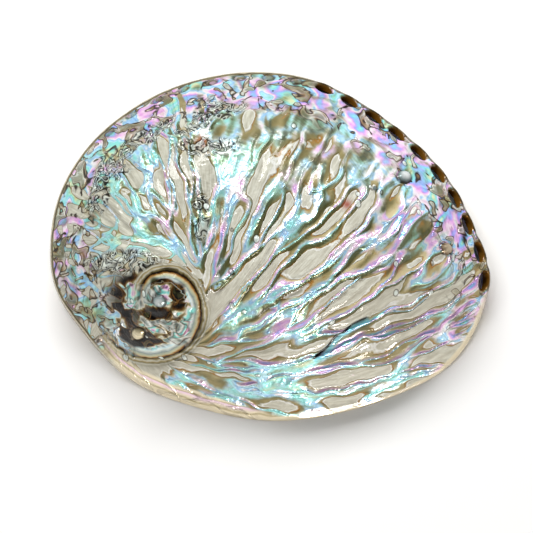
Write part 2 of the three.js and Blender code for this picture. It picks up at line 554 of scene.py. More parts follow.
def spire_share(points):
    """1 on the spire, 0 outside its suture, fading on the side where it runs into the whorl."""
    distance, bearing = spire_polar(points)
    turn = suture_turn(bearing)
    open_side = smoothstep(turn, *SUTURE_ENDS)
    wide = open_side * smoothstep(turn, 2 * math.pi, SUTURE_ENDS[1])
    edge = suture_radius(turn, 0) * (1 - open_side) + SUTURE_START * open_side
    edge = edge + (SPIRE_OPEN - SUTURE_START) * wide
    sharp, more = SPIRE_EDGE
    softness = sharp + more * wide
    return 1 - smoothstep(distance, edge - softness, edge + softness)


def from_line(plan, corners):
    """Distance of each plan point from a bent line."""
    nearest = np.full(len(plan), FAR_OFF)
    for start, end in zip(corners, corners[1:]):
        start, end = np.array(start), np.array(end)
        along = end - start
        share = np.clip((plan - start) @ along / (along @ along), 0, 1)
        away = plan - start - share[:, None] * along
        nearest = np.minimum(nearest, np.hypot(away[:, 0], away[:, 1]))
    return nearest


def pearl_domes(plan):
    """Height of the pearls over the shell, and the ring round each."""
    height = np.zeros(len(plan))
    ring = np.zeros(len(plan))
    for x, y, radius in PEARLS:
        ratio = np.hypot(plan[:, 0] - x, PEARL_NARROW * (plan[:, 1] - y)) / radius
        height += radius * PEARL_RISE * np.sqrt(np.maximum(0, 1 - ratio ** 2))
        ring += bell_at(ratio, *PEARL_RING)
    return height, ring


def spots(plan, places):
    """Soft oval spots: 1 in the middle of each, fading outwards over its two reaches."""
    return sum(
        bell(np.hypot((plan[:, 0] - x) / reach_x, (plan[:, 1] - y) / reach_y), 1)
        for x, y, reach_x, reach_y in places
    )


def pit_zones(plan, rim_distance, angle):
    """1 where the surface is pitted: an arc in from the keel and spots beside the spire."""
    wander, wander_size = PIT_BAND_WANDER
    gap_size, *gap_levels = PIT_BAND_GAPS
    inwards = rim_distance + wander * noise(plan, wander_size, SEEDS["pit band"])
    zone = bell_at(inwards, *PIT_BAND)
    zone = zone * smoothstep(noise(plan, gap_size, SEEDS["pit gaps"]), *gap_levels)
    zone = zone * smoothstep(angle, *PIT_BAND_STARTS) * smoothstep(angle, *PIT_BAND_ENDS)
    return np.clip(zone + spots(plan, PIT_SPOTS), 0, 1)


def blend(first, second, share):
    """A mix of two noises that has their spread everywhere."""
    return (first + (second - first) * share) / np.hypot(share, 1 - share)


def folds(paths, beside_lip, by_holes, seed):
    """Noise lying along the folds, finest above the spire and widest below the open holes."""
    fine, medium, wide = (paths.smear(size, seed + step) for step, size in enumerate(FOLD_SIZES))
    return blend(blend(fine, medium, beside_lip), wide, by_holes)


def outside_fields(points, plan, unrolled, down_wall):
    """Everything about the outside that its relief and its material need, point by point."""
    rim_distance, angle = from_rim(plan)
    keel_side = smoothstep(facing(angle, KEEL_DIRECTION), *KEEL_FADES)
    warp = [noise(unrolled, WARP_SIZE, SEEDS[name]) for name in ("warp x", "warp y")]
    warp = np.stack(warp, -1)
    paths = FoldPaths(unrolled + warp)
    start, along, _ = fold_coordinates(unrolled)
    pearl, ring = pearl_domes(plan)
    sealed = holes.nearness(points, holes.sealed())
    offset, clear = nearest_suture(plan)
    beside_lip = smoothstep(start, *FOLD_REACH_TURNS)
    by_holes = smoothstep(plan[:, 0], *BY_HOLES_X) * smoothstep(plan[:, 1], *BY_HOLES_Y)
    near_crack = plan + CRACK_BENDS * warp
    return {
        "fold": folds(paths, beside_lip, by_holes, SEEDS["fold"]),
        "cross": folds(paths, beside_lip, by_holes, SEEDS["cross"]),
        "fine": paths.smear(FINE_SIZE, SEEDS["fine"]),
        "broad": paths.smear(BROAD_SIZE, SEEDS["broad"]),
        "keel_band": keel_side * smoothstep(rim_distance, *KEEL_BAND),
        "keel_side": keel_side,
        "past_edge": down_wall - np.maximum(0, rim_distance - KEEL_OVERHANG * keel_side),
        "beside_lip": beside_lip,
        "by_holes": by_holes,
        "spire": spire_share(plan),
        "suture_offset": offset,
        "suture": clear,
        "pearl": pearl,
        "ring": np.minimum(1, ring + bell_at(sealed, *SEALED_RING)),
        "sealed": smoothstep(sealed, *SEALED_FILL),
        "crack": bell(from_line(near_crack, CRACK), CRACK_WIDTH),
        "crack_glow": bell(from_line(near_crack - CRACK_GLOW, CRACK), CRACK_WIDTH),
        "stain": spots(plan, [(x, y, radius, radius) for x, y, radius in STAINS]),
        "flow": np.stack([start, along, np.zeros_like(start)], -1),
        "pits": pit_zones(plan, rim_distance, angle),
        "brown": spots(plan, BROWN_SPOTS),
        "inside": np.zeros(len(points)),
        "scar": np.zeros(len(points)),
    }


def outside_relief(points, unrolled, fields):
    """How far, in mm, each point of the outside stands out of the plain surface."""
    edge = smoothstep(from_rim(points[:, :2])[0], *SMOOTH_EDGE)
    body = (1 - fields["spire"]) * (1 - KEEL_FOLDS_LOST * fields["keel_band"]) * edge
    cell = np.minimum(np.abs(fields["fold"]), np.abs(fields["cross"]))
    strong = fields["beside_lip"] * (1 - fields["by_holes"])
    ridge_height = RIDGE_HEIGHT * (RIDGE_UPPER + (1 - RIDGE_UPPER) * strong)
    relief = body * (
        ridge_height * bell(cell, RIDGE_WIDTH)
        + FINE_HEIGHT * fields["fine"]
        + BROAD_HEIGHT * fields["broad"]
    )
    keel_bump, keel_size = KEEL_BUMPS
    relief += keel_bump * fields["keel_band"] * edge * noise(unrolled, keel_size, SEEDS["keel"])
    spire_bump, spire_size = SPIRE_BUMPS
    relief += spire_bump * fields["spire"] * noise(unrolled, spire_size, SEEDS["spire"])
    pit_depth, pit_size = PIT_HOLES
    pit_noise = noise(unrolled, pit_size, SEEDS["pits"])
    relief -= pit_depth * fields["pits"] * smoothstep(pit_noise, *PIT_EDGES)
    relief += fields["pearl"] - RING_DEPTH * fields["ring"] - CRACK_DEPTH * fields["crack"]
    nearness = holes.nearness(points, holes.open())
    relief = relief * smoothstep(nearness, *OPEN_CLEAR)
    relief += OPEN_EDGE_HEIGHT * bell_at(nearness, *OPEN_EDGE)
    relief -= OPEN_SINK_DEPTH * smoothstep(nearness, *OPEN_SINKS)
    return relief - SUNK


def add_outside():
    """The points of the outside, on the shell and unrolled, its triangles and its fields."""
    points, unrolled, down_wall = dome(OUTSIDE_RINGS, 0, 0, 0)
    triangles = ring_triangles(OUTSIDE_RINGS)
    plan = points[:, :2]
    fields = outside_fields(points, plan, unrolled, down_wall)
    relief = outside_relief(points, unrolled, fields)
    near_rim = smoothstep(points[:, 2], *RIM_FADE)
    normals = point_normals(points, triangles)
    moved = points + normals * (relief * near_rim)[:, None]
    moved[:, 2] = np.hypot(np.minimum(moved[:, 2], HEIGHT - TOP_MARGIN), EDGE_ROUND)
    lean = (point_normals(moved, triangles) - normals)[:, :2]
    across = fold_direction(unrolled)[:, ::-1] * (1, -1)
    fields["lean"] = (lean * across).sum(1)
    return moved, unrolled, triangles, fields


def add_inside():
    """The same of the inside, with its triangles facing into the hollow."""
    points, unrolled, _ = dome(INSIDE_RINGS, RIM, WALL, SHELF_WIDTH)
    triangles = ring_triangles(INSIDE_RINGS)
    points[:, 2] = np.hypot(points[:, 2], EDGE_ROUND)
    start, along, _ = fold_coordinates(unrolled)
    from_scar = (unrolled - SCAR_MIDDLE) / SCAR_REACH
    fields = {
        "inside": np.ones(len(points)),
        "scar": smoothstep(np.hypot(from_scar[:, 0], from_scar[:, 1]), *SCAR_EDGE),
        "flow": np.stack([start, along, np.ones_like(start)], -1),
    }
    return points, unrolled, triangles[:, ::-1], fields


# The surface is laid out flat on a square chart from 0 to 1: the outside with its wall unrolled, the
# inside, smaller, under it, and the walls of the holes in a column beside them.
CHART_NAME = "OFBake"
OUTSIDE_CHART = (0.0045, 0.005, 0.375)    # chart widths per mm, left and bottom edge
INSIDE_CHART = (0.0026, 0.005, 0.005)
HOLE_CHART = (0.83, 0.39, 0.16, 0.06)     # left, bottom, width and height of the first hole
HOLE_CHART_USED = 0.9                     # share of that height; the rest is a gap


def on_chart(flat, part):
    """Where flat points, in mm, lie in one part of the chart."""
    scale, left, bottom = part
    return (left, bottom) + scale * (flat - flat.min(axis=0))


def moved_out(edge, distance):
    """Plan points moved out from the middle."""
    length = np.linalg.norm(edge[:, :2], axis=1, keepdims=True)
    return edge[:, :2] * (length + distance) / length


def rim_strips(outer, outer_rim, inner_rim, inner):
    """The triangles that close the rim, as rings of point numbers. The inner rings have half as
    many points as the outer ones."""
    even, odd, after = outer_rim[0::2], outer_rim[1::2], np.roll(outer_rim[0::2], -1)
    inner_next = np.roll(inner_rim, -1)
    outer_strips = [
        (outer, outer_rim, np.roll(outer_rim, -1)),
        (outer, np.roll(outer_rim, -1), np.roll(outer, -1)),
    ]
    inner_strips = [
        (even, inner_rim, odd),
        (odd, inner_rim, inner_next),
        (odd, inner_next, after),
        (inner_rim, inner, np.roll(inner, -1)),
        (inner_rim, np.roll(inner, -1), inner_next),
    ]
    return [np.concatenate([np.stack(strip, -1) for strip in s]) for s in (outer_strips, inner_strips)]


def shell_surface():
    """The whole closed surface: points, triangles, the fields by name, and for every triangle the
    places of its corners on the flat chart that the surface is laid out on."""
    outside, outside_flat, outside_triangles, fields = add_outside()
    inside, inside_flat, inside_triangles, inside_fields = add_inside()
    outer_count, inner_count = 6 * OUTSIDE_RINGS, 6 * INSIDE_RINGS
    rim_angle = 2 * math.pi * np.arange(outer_count) / outer_count
    flat_rim = rim_radius(rim_angle) + keel_point(rim_angle, 1)[1] + 2 * EDGE_ROUND
    flat_rim = flat_rim[:, None] * unit_vectors(rim_angle)

    outer_rim = np.pad(moved_out(outside[-outer_count:], -EDGE_ROUND), ((0, 0), (0, 1)))
    inner_rim = np.pad(moved_out(inside[-inner_count:], EDGE_ROUND), ((0, 0), (0, 1)))
    points = np.concatenate([outside, outer_rim, inner_rim, inside])
    inner_start = len(outside) + outer_count
    inside_start = inner_start + inner_count
    outer_strips, inner_strips = rim_strips(
        len(outside) - outer_count + np.arange(outer_count),
        len(outside) + np.arange(outer_count),
        inner_start + np.arange(inner_count),
        len(points) - inner_count + np.arange(inner_count),
    )
    outer_triangles = np.concatenate([outside_triangles, outer_strips])
    inner_triangles = np.concatenate([inner_strips, inside_triangles + inside_start])

    flat_inner_rim = moved_out(inside_flat[-inner_count:], 2 * EDGE_ROUND)
    flat = np.concatenate([outside_flat, flat_rim, flat_inner_rim, inside_flat])
    chart = np.concatenate([
        on_chart(flat, OUTSIDE_CHART)[outer_triangles],
        on_chart(flat, INSIDE_CHART)[inner_triangles],
    ])
    whole_fields = {}
    for name, values in fields.items():
        inner_values = inside_fields.get(name, np.zeros((len(inside),) + values.shape[1:]))
        rim_values = np.repeat(values[-1:], outer_count, axis=0)
        inner_rim_values = np.repeat(inner_values[-1:], inner_count, axis=0)
        whole_fields[name] = np.concatenate([values, rim_values, inner_rim_values, inner_values])
    return points, np.concatenate([outer_triangles, inner_triangles]), whole_fields, chart


# ---------------------------------------------------------------- meshes

SHARP_ANGLE = math.radians(60)        # edges sharper than this stay sharp in the light


def new_mesh(name, points, faces, chart=None):
    """A mesh from points in mm. The chart gives the place of every corner of every face on it."""
    mesh = bpy.data.meshes.new(name)
    mesh.from_pydata((np.asarray(points) * MM).tolist(), [], [list(face) for face in faces])
    if chart is not None:
        layer = mesh.uv_layers.new(name=CHART_NAME)
        layer.uv.foreach_set("vector", np.asarray(chart, np.float32).ravel())
    mesh.update()
    return mesh


def new_object(data):
    """An object in the scene that shows a mesh, or is a lamp or a camera."""
    shape = bpy.data.objects.new(data.name, data)
    bpy.context.scene.collection.objects.link(shape)
    return shape


def hole_cutter(index, frame_of_hole, sides=40):
    """An oval rod, a little wider at its outer end, that cuts one breathing hole."""
    centre, across, normal, forwards, size = frame_of_hole
    turn = 2 * math.pi * np.arange(sides) / sides
    rings = []
    for height, wide in ((-HOLE_DEPTH / 2, 1 - HOLE_FLARE), (HOLE_DEPTH / 2, 1 + HOLE_FLARE)):
        x = np.cos(turn)[:, None] * across * (wide * size * HOLE_WIDTH / 2)
        y = np.sin(turn)[:, None] * forwards * (wide * size * HOLE_LENGTH / 2)
        rings.append(centre + x + y + normal * height)
    low = np.arange(sides)
    low_next = np.roll(low, -1)
    walls = np.stack([low + sides, low_next + sides, low_next, low], -1)
    faces = [*walls, low, low[::-1] + sides]

    left, bottom, width, tall = HOLE_CHART
    bottom += index * tall
    start, end = left + width * low / sides, left + width * (low + 1) / sides
    top = bottom + HOLE_CHART_USED * tall
    corners = [(start, top), (end, top), (end, bottom), (start, bottom)]
    wall_chart = np.stack([np.stack(np.broadcast_arrays(u, v), -1) for u, v in corners], 1)
    unused = np.zeros((2 * sides, 2))
    chart = np.concatenate([wall_chart.reshape(-1, 2), unused])
    return new_mesh(f"hole_{index}", np.concatenate(rings), faces, chart)


def join_meshes(meshes, name):
    """One object that holds all the meshes."""
    joined = bmesh.new()
    for mesh in meshes:
        joined.from_mesh(mesh)
    bmesh.ops.recalc_face_normals(joined, faces=joined.faces)
    whole = bpy.data.meshes.new(name)
    joined.to_mesh(whole)
    joined.free()
    return new_object(whole)


def cut_holes(shell):
    """Cuts the breathing holes out of the shell's mesh."""
    cutters = [hole_cutter(index, place) for index, place in enumerate(holes.open())]
    tool = join_meshes(cutters, "hole_tool")
    modifier = shell.modifiers.new("holes", "BOOLEAN")
    modifier.operation = "DIFFERENCE"
    modifier.object = tool
    modifier.solver = "MANIFOLD"
    evaluated = shell.evaluated_get(bpy.context.evaluated_depsgraph_get())
    cut = bpy.data.meshes.new_from_object(evaluated)
    shell.modifiers.clear()
    shell.data = cut
    bpy.data.objects.remove(tool)


def put_field(mesh, name, values):
    """Puts a number or a vector on every point of the mesh."""
    kind, key = ("FLOAT_VECTOR", "vector") if values.ndim == 2 else ("FLOAT", "value")
    attribute = mesh.attributes.new(name, kind, "POINT")
    attribute.data.foreach_set(key, values.astype(np.float32).ravel())


def store_fields(mesh, points, fields):
    """Puts the fields on the mesh's points, each taken from the nearest point they are known at."""
    tree = KDTree(len(points))
    for index, point in enumerate(points * MM):
        tree.insert(point, index)
    tree.balance()
    nearest = np.array([tree.find(vertex.co)[1] for vertex in mesh.vertices])
    for name, values in fields.items():
        put_field(mesh, name, values[nearest])


def build_shell():
    """The shell as one closed mesh with its fields on it."""
    points, triangles, fields, chart = shell_surface()
    shell = new_object(new_mesh("abalone_shell", points, triangles, chart))
    cut_holes(shell)
    mesh = shell.data
    store_fields(mesh, points, fields)
    places = np.empty(3 * len(mesh.vertices))
    mesh.vertices.foreach_get("co", places)
    nearness = holes.nearness(places.reshape(-1, 3) / MM, holes.open())
    put_field(mesh, "hole", smoothstep(nearness, *OPEN_COLOR))
    mesh.shade_smooth()
    mesh.set_sharp_from_angle(angle=SHARP_ANGLE)
    return shell


# ---------------------------------------------------------------- materials

CORE = (0.83, 0.83, 0.78)
CORE_SHADE = (0.70, 0.69, 0.63)
OLIVE_PALE = (0.75, 0.70, 0.55)
OLIVE = (0.57, 0.53, 0.37)
OLIVE_DARK = (0.32, 0.32, 0.19)
OLIVE_SHADE = (0.45, 0.44, 0.33)
OCHRE = (0.62, 0.44, 0.19)
BROWN = (0.38, 0.25, 0.10)
DARK_BROWN = (0.15, 0.09, 0.02)
BLACK = (0.03, 0.03, 0.03)
SLATE = (0.24, 0.27, 0.25)
STEEL = (0.52, 0.58, 0.58)
GREEN_GREY = (0.68, 0.71, 0.62)
SILVER = (0.86, 0.90, 0.88)
WHITE = (0.96, 0.97, 0.97)
CREAM = (0.95, 0.91, 0.80)
YELLOW = (0.92, 0.93, 0.74)
MINT = (0.74, 0.94, 0.84)
TURQUOISE = (0.52, 0.92, 0.92)
PALE_CYAN = (0.76, 0.94, 1.0)
PALE_PINK = (1.0, 0.88, 0.97)
PINK = (0.95, 0.70, 0.95)
VIOLET = (0.74, 0.68, 1.0)
SKY = (0.56, 0.80, 1.0)
BRIGHT_BLUE = (0.50, 0.90, 1.0)
STAIN = (0.62, 0.26, 0.20)
# The walls of the open holes: their own brown, darkened as painted shade in the hollow.
HOLE_BROWN_AND_SHADE = (0.42, 0.28, 0.08)
LIP_CREAM = (0.85, 0.81, 0.71)
# Painted shade: a tint that darkens the side towards the keel, which the key lamp lights most.
KEEL_SIDE_PAINTED_SHADE = (0.82, 0.82, 0.80)         # what the side towards the keel is dimmed with

# The colours that nacre runs through as its hue changes from 0 to 1.
NACRE_HUES = [
    (0.00, CREAM), (0.10, YELLOW), (0.18, MINT), (0.27, TURQUOISE), (0.36, PALE_CYAN),
    (0.43, SKY), (0.49, WHITE), (0.56, PALE_PINK), (0.64, PINK), (0.71, VIOLET),
    (0.80, SKY), (0.89, TURQUOISE), (1.00, YELLOW),
]

# Where on the plan, in mm, one look begins to give way to another and has done so.
FAR_SIDE_X = (-28.0, -46.0)       # more bare nacre to the left of the spire
FAR_SIDE_Y = (-14.0, -4.0)
SPIRE_END_X = (-42.0, -52.0)      # the spire's silver turns into the nacre of the body
DARK_WALL_X = (0.0, 30.0)         # the top of the wall is darker under the first holes
DARK_WALL_DOWN = (10.0, 4.0)      # how far down the wall that reaches
WIDE_LIP_X = (10.0, -20.0)        # the bands along the lip widen towards the spire
GOLDEN_PEARL_X = (45.0, 50.0)     # one pearl, at the right-hand end
CREAMY_PEARL_Y = (-25.0, -30.0)   # and one, on the spire's outer side
# Where the painted shade on the keel side begins and is whole, and which way it runs:
PAINTED_SHADE_REACH = (-5.0, 50.0)          # across the shell, towards the keel
PAINTED_SHADE_TILT = -0.6             # how much of that way runs back along X

# Levels at which one layer of the shell gives way to the next.
CORE_LEVEL = 0.62                 # the grey cores, in the cells between the folds
ISLAND_LEVEL = 0.30               # the islands of the keel and the spire
ISLAND_RIM = 0.42                 # the warm line inside their edge
PIT_LINES = (-0.1, 0.45)          # the black lines of the pitted zones

# How fine the patterns that follow the folds are: across the folds, along them, and a third number
# that only tells the inside from the outside.
STREAKS = (60.0, 0.22, 1.0)
CRINKLES = (5.0, 1.3, 1.0)
INSIDE_STREAKS = (3.0, 0.05, 1.0)

OUT_OF_REACH = 9.0                # taken off a pattern's value where the pattern must not show
BUMP_STRENGTH = 0.8
POLISH = {"Specular IOR Level": 0.05, "Coat Weight": 0.3, "Coat Roughness": 0.04}


def linear(color):
    """An sRGB colour as a linear one with alpha."""
    parts = [c / 12.92 if c <= 0.04045 else ((c + 0.055) / 1.055) ** 2.4 for c in color]
    return (*parts, 1.0)


class Graph:
    """A short way to write a material's nodes: every call adds a node and returns its output."""

    def __init__(self, material):
        self.tree = material.node_tree
        self.tree.nodes.clear()

    def add(self, kind, **settings):
        node = self.tree.nodes.new(kind)
        for name, value in settings.items():
            setattr(node, name, value)
        return node

    def feed(self, socket, value):
        """Links an output to a socket, or sets the socket's own value."""
        if isinstance(value, bpy.types.NodeSocket):
            self.tree.links.new(value, socket)
        else:
            socket.default_value = value

    def field(self, name):
        return self.add("ShaderNodeAttribute", attribute_name=name).outputs["Fac"]

    def vector_field(self, name):
        return self.add("ShaderNodeAttribute", attribute_name=name).outputs["Vector"]

    def math(self, operation, *values, clamp=False):
        node = self.add("ShaderNodeMath", operation=operation, use_clamp=clamp)
        for socket, value in zip(node.inputs, values):
            self.feed(socket, value)
        return node.outputs[0]

    def fit(self, value, scale, offset):
        """The value scaled and then moved."""
        return self.math("MULTIPLY_ADD", value, scale, offset)

    def total(self, *terms):
        """The sum of the terms. A term in brackets is a product."""
        first, *others = (self.times(*t) if isinstance(t, tuple) else t for t in terms)
        for other in others:
            first = self.math("ADD", first, other)
        return first

    def times(self, first, *others):
        for other in others:
            first = self.math("MULTIPLY", first, other)
        return first

    def flipped(self, value):
        """1 minus the value."""
        return self.math("SUBTRACT", 1.0, value, clamp=True)

    def step(self, value, start, end):
        """0 up to start, 1 from end on, smooth between them. The start may be above the end."""
        node = self.add("ShaderNodeMapRange", interpolation_type="SMOOTHSTEP")
        self.feed(node.inputs["Value"], value)
        node.inputs["From Min"].default_value = start
        node.inputs["From Max"].default_value = end
        return node.outputs["Result"]

    def line(self, value, middle, width):
        """1 where a value is near the middle, 0 further off than the width: a thin contour."""
        away = self.math("ABSOLUTE", self.math("SUBTRACT", value, middle))
        return self.step(away, width, 0.0)

    def scaled(self, vector, *scale):
        node = self.add("ShaderNodeVectorMath", operation="MULTIPLY")
        self.feed(node.inputs[0], vector)
        node.inputs[1].default_value = scale
        return node.outputs[0]

    def noise(self, vector, size, detail=1.0, distortion=0.0):
        """Noise about 0, roughly from -1 to 1, with lumps of a size in the vector's units."""
        node = self.add("ShaderNodeTexNoise")
        self.feed(node.inputs["Vector"], vector)
        node.inputs["Scale"].default_value = 1 / size
        node.inputs["Detail"].default_value = detail
        node.inputs["Distortion"].default_value = distortion
        return self.fit(node.outputs["Fac"], 4.0, -2.0)

    def bubbles(self, vector, size, share, radius):
        """Scattered round spots: 1 in the middle of each, 0 at its edge, below 0 outside."""
        node = self.add("ShaderNodeTexVoronoi", feature="F1")
        self.feed(node.inputs["Vector"], vector)
        node.inputs["Scale"].default_value = 1 / size
        split = self.add("ShaderNodeSeparateColor")
        self.feed(split.inputs[0], node.outputs["Color"])
        chosen = self.step(split.outputs[0], 1 - share, 1 - share + 0.01)
        reach = self.fit(split.outputs[1], 0.6 * radius, 0.7 * radius)
        inside = self.math("SUBTRACT", 1.0, self.math("DIVIDE", node.outputs["Distance"], reach))
        return self.total(inside, (self.flipped(chosen), -OUT_OF_REACH))

    def ramp(self, value, stops):
        node = self.add("ShaderNodeValToRGB")
        elements = node.color_ramp.elements
        while len(elements) < len(stops):
            elements.new(0.5)
        for element, (place, color) in zip(elements, stops):
            element.position = place
            element.color = linear(color)
        self.feed(node.inputs["Fac"], value)
        return node.outputs["Color"]

    def mix(self, first, second, *shares, blend="MIX"):
        """The second colour over the first one, by the product of the shares."""
        node = self.add("ShaderNodeMix", data_type="RGBA", blend_type=blend, clamp_factor=True)
        self.feed(node.inputs["Factor"], self.times(*shares))
        first, second = (linear(c) if isinstance(c, tuple) else c for c in (first, second))
        self.feed(node.inputs["A"], first)
        self.feed(node.inputs["B"], second)
        return [s for s in node.outputs if s.type == "RGBA"][0]


class ShellGraph(Graph):
    """The shell's material: the fields on its points and the patterns that several layers share."""

    def __init__(self, material):
        super().__init__(material)
        texture = self.add("ShaderNodeTexCoord")
        self.place = self.scaled(texture.outputs["Object"], *[1 / MM] * 3)
        axes = self.add("ShaderNodeSeparateXYZ")
        self.feed(axes.inputs[0], self.place)
        self.x, self.y = axes.outputs["X"], axes.outputs["Y"]
        self.flow = self.vector_field("flow")
        self.beside_lip = self.field("beside_lip")
        self.by_holes = self.field("by_holes")
        self.past_edge = self.field("past_edge")
        self.strong = self.times(self.beside_lip, self.flipped(self.by_holes))
        # The lean of the folds paints light and shade on their flanks, and counts for more beside the
        # lip.
        steeper = self.fit(self.strong, 1.6, 0.5)
        self.lean = self.times(self.field("lean"), steeper)
        self.keel = self.field("keel_band")
        self.keel_side = self.field("keel_side")
        self.spire = self.field("spire")
        self.pits = self.field("pits")
        self.pearl = self.step(self.field("pearl"), 0.0, 0.35)
        self.suture_offset = self.field("suture_offset")
        self.streaks = self.noise(self.scaled(self.flow, *STREAKS), 1.0, 3.0)
        self.crinkles = self.noise(self.scaled(self.flow, *CRINKLES), 1.0)
        self.wander = self.lumps(1.9)
        self.patches = self.lumps(8.0)
        self.scribble = self.lumps(5.0, distortion=1.6)
        self.swirl = self.lumps(6.5, distortion=1.4)
        oval = self.scaled(self.place, 1.0, 0.75, 1.0)
        bubble = self.bubbles(oval, size=4.0, share=0.10, radius=0.22)
        at_edge = self.step(self.past_edge, -3.0, -1.5)
        self.bubble = self.total(bubble, (at_edge, -OUT_OF_REACH))
        self.cell = self.cell_depth()
        self.crest = self.fit(self.patches, 0.17, self.cell)
        self.core = self.fit(self.lumps(13.0), 0.25, self.cell)
        rough = self.math("MAXIMUM", self.keel, self.times(self.spire, 0.45))
        self.rough = self.times(rough, self.flipped(self.pearl))

    def lumps(self, size, detail=1.0, distortion=0.0):
        """Noise over the shell with lumps of a size in mm."""
        return self.noise(self.place, size, detail, distortion)

    def cell_depth(self):
        """0 on the crests of the folds, rising into the cells between them."""
        wobble = self.total((self.wander, 0.05), (self.field("fine"), 0.07))
        fold = self.math("ABSOLUTE", self.total(self.field("fold"), wobble))
        cross = self.math("ABSOLUTE", self.math("SUBTRACT", self.field("cross"), wobble))
        depth = self.math("MINIMUM", fold, cross)
        by_suture = self.times(self.step(self.suture_offset, 9.0, 2.0), self.field("suture"))
        far_side = self.times(self.step(self.x, *FAR_SIDE_X), self.step(self.y, *FAR_SIDE_Y))
        return self.total(
            depth,
            (far_side, -0.18),
            (self.by_holes, -0.08),
            (self.keel, -0.7),
            (self.strong, 0.05),
            (by_suture, 0.5),
        )


def nacre_color(graph):
    """Bare nacre with painted light and shade on its folds: a painted highlight on the flanks that lean
    to one side, painted olive shade on the others; its hue changing slowly over the shell and turning a
    little with the lean."""
    patchy = graph.math("MAXIMUM", graph.keel, graph.by_holes)
    # Painted light and shade: the lean makes one flank of each fold bright and the other dark.
    tone = graph.total(
        (graph.lean, -0.9),
        (graph.lumps(2.6, detail=2.0), 0.06),
        (graph.patches, -0.08),
        (graph.crinkles, 0.05),
        (graph.strong, 0.12),
        (graph.by_holes, graph.flipped(graph.keel), -0.20),
        (graph.lumps(8.0, distortion=1.0), patchy, 0.28),
        (graph.keel, -0.06),
        0.10,
    )
    bright = graph.step(tone, -0.36, 0.26)
    shade = graph.ramp(bright, [
        (0.0, OLIVE_SHADE), (0.3, GREEN_GREY), (0.6, SILVER), (0.9, WHITE),
    ])
    drift = graph.lumps(11.0)
    hue = graph.total(
        0.39,
        (drift, 0.22),
        (graph.lumps(3.4), 0.08),
        (graph.lean, -0.30),
        (graph.lumps(9.0, distortion=0.6), graph.keel, 0.42),
        (graph.keel, 0.14),
        (graph.x, 0.0012),
        (graph.y, 0.0008),
    )
    tint = graph.ramp(graph.math("PINGPONG", hue, 1.0), NACRE_HUES)
    clear = graph.fit(bright, 0.45, 0.42)
    color = graph.mix(shade, tint, clear, blend="MULTIPLY")
    return graph.mix(color, tint, graph.keel, 0.35, blend="MULTIPLY")


def layered_color(graph):
    """The older layers, ground through like contour lines: olive bands round grey cores, the bands
    paler or darker by the lean of the folds as painted light and shade.
    """
    # Painted light and shade: the lean makes the olive bands pale on one flank and dark on the other.
    tone = graph.total(
        (graph.lumps(5.0), 0.22),
        (graph.lean, -0.9),
        (graph.beside_lip, -0.05),
        0.5,
    )
    bands = graph.ramp(tone, [(0.0, OLIVE_DARK), (0.5, OLIVE), (1.0, OLIVE_PALE)])
    clear = graph.step(graph.lumps(6.0), -0.5, 0.5)
    bands = graph.mix(bands, OCHRE, graph.line(graph.core, CORE_LEVEL, 0.09), clear)
    core = graph.mix(CORE_SHADE, CORE, graph.step(graph.streaks, -1.0, 1.0))
    core = graph.mix(core, WHITE, graph.line(graph.core, 0.71, 0.05), 0.6)
    color = graph.mix(bands, core, graph.step(graph.core, CORE_LEVEL, 0.67))
    return graph.mix(color, STAIN, graph.field("stain"), 0.9)


def spire_color(graph, nacre):
    """Dark silvery nacre, its tone partly painted reflections, brightest on the side of the keel, with
    brown patches ground open.
    """
    # The silver's own tone and painted reflections, as on polished metal: bands of slate, steel and
    # white by noise.
    shine = graph.fit(graph.lumps(6.0, distortion=0.8), 0.42, 0.45)
    silver = graph.ramp(shine, [
        (0.0, SLATE), (0.15, STEEL), (0.32, WHITE), (0.45, STEEL), (0.55, TURQUOISE),
        (0.66, WHITE), (0.78, PINK), (1.0, STEEL),
    ])
    silver = graph.mix(silver, GREEN_GREY, 0.35, blend="MULTIPLY")
    color = graph.mix(silver, nacre, graph.step(graph.x, *SPIRE_END_X))
    patches = graph.total(
        graph.field("brown"),
        (graph.lumps(5.0, detail=1.5, distortion=0.8), 0.4),
        -0.42,
    )
    brown = graph.ramp(patches, [
        (0.0, CREAM), (0.06, OLIVE), (0.14, BROWN), (0.26, DARK_BROWN), (0.42, BLACK),
    ])
    return graph.mix(color, brown, graph.step(patches, -0.05, 0.05))


def keel_marks(graph, color):
    """Islands of older layers in the rough zones, each with a dark line round it."""
    zone = graph.step(graph.rough, 0.1, 0.6)
    near_edge = graph.times(graph.step(graph.past_edge, -9.0, -2.0), 0.15)
    depth = graph.total(graph.swirl, (near_edge, graph.keel))
    island = graph.step(depth, ISLAND_LEVEL, ISLAND_LEVEL + 0.04)
    fill = graph.mix(CORE, OLIVE, graph.step(graph.patches, -0.3, 0.3))
    color = graph.mix(color, fill, island, graph.keel, 0.85)
    color = graph.mix(color, OLIVE_DARK, graph.step(depth, 0.55, 0.9), zone, 0.6)
    warm_line = graph.times(graph.line(depth, ISLAND_RIM, 0.12), zone, 0.6)
    color = graph.mix(color, OCHRE, warm_line)
    dark_line = graph.line(depth, ISLAND_LEVEL, 0.20)
    return graph.mix(color, DARK_BROWN, dark_line, zone)


def pit_marks(graph, color):
    """White and black scribbles in the pitted zones."""
    zone = graph.step(graph.pits, 0.12, 0.4)
    older = graph.times(graph.step(graph.patches, 0.3, -0.3), zone)
    color = graph.mix(color, OLIVE_PALE, older, 0.7)
    white = graph.times(graph.step(graph.scribble, 0.0, 0.2), zone)
    color = graph.mix(color, SILVER, white, 0.75)
    for level in PIT_LINES:
        black = graph.line(graph.scribble, level, 0.28)
        color = graph.mix(color, BLACK, black, zone)
    return color


